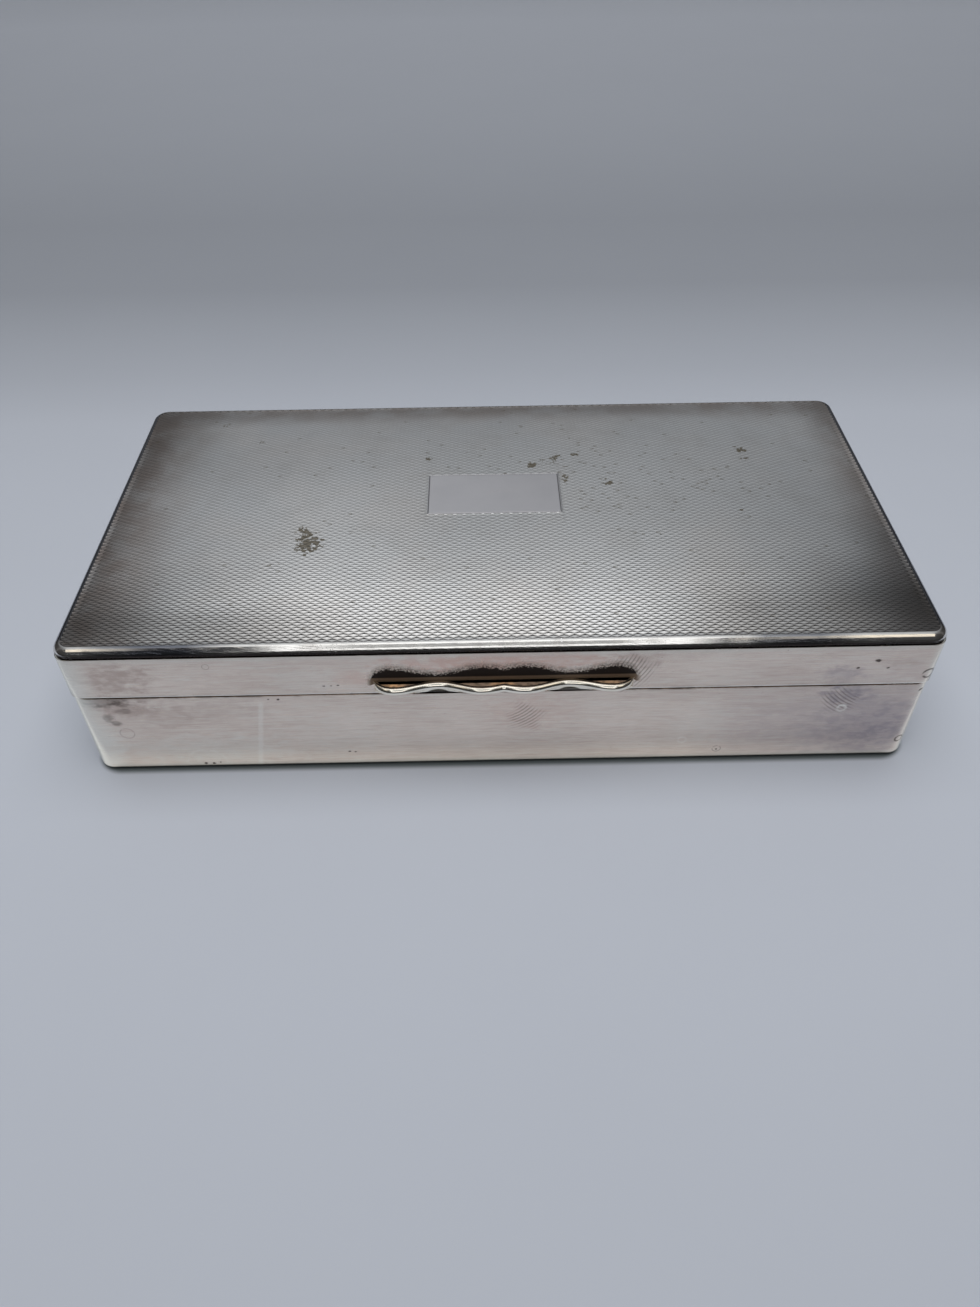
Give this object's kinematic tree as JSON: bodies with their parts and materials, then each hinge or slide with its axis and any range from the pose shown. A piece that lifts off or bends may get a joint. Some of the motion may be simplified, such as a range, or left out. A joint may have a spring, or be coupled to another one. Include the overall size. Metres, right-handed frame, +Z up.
{
  "type": "cigarette box",
  "caption": "Low rectangular silver table box with a domed engine-turned lid on a back hinge, a serpentine thumbpiece and a divided cedar lining.",
  "frame": {"origin": "centre of the box's outline at its underside, the thumbpiece and the hinge's tubes left out", "axes": "+X left to right seen from the front, +Y from the front to the hinge at the back, +Z up"},
  "size_m": [0.178, 0.098, 0.0393],
  "materials": {
    "turned_silver": "engine-turned silver, greyed by tarnish",
    "wall_silver": "satin silver worn by polishing, with a warm cast",
    "thumb_silver": "bright cast silver, yellowed by handling",
    "hinge_silver": "polished silver tube and wire",
    "cedar": "planed cedar, unvarnished"
  },
  "bodies": {
    "base": {"base_band": "wall_silver", "base_plate": "wall_silver", "cedar_floor": "cedar", "cedar_front_board": "cedar", "cedar_back_board": "cedar", "cedar_left_board": "cedar", "cedar_right_board": "cedar", "cedar_divider": "cedar", "base_hinge_bearer": "hinge_silver", "base_knuckle_1": "hinge_silver", "base_knuckle_2": "hinge_silver", "base_knuckle_3": "hinge_silver", "base_knuckle_4": "hinge_silver", "hinge_pin": "hinge_silver"},
    "lid": {"lid_band": "wall_silver", "lid_plate": "turned_silver", "lid_thumbpiece": "thumb_silver", "lid_hinge_bearer": "hinge_silver", "lid_knuckle_1": "hinge_silver", "lid_knuckle_2": "hinge_silver", "lid_knuckle_3": "hinge_silver"}
  },
  "joints": [
    {"name": "lid_hinge", "type": "hinge", "parent": "base", "child": "lid", "pos_m": [0, 0.0465, 0.02275], "axis": [-1, 0, 0], "range_deg": [0, 105]}
  ]
}
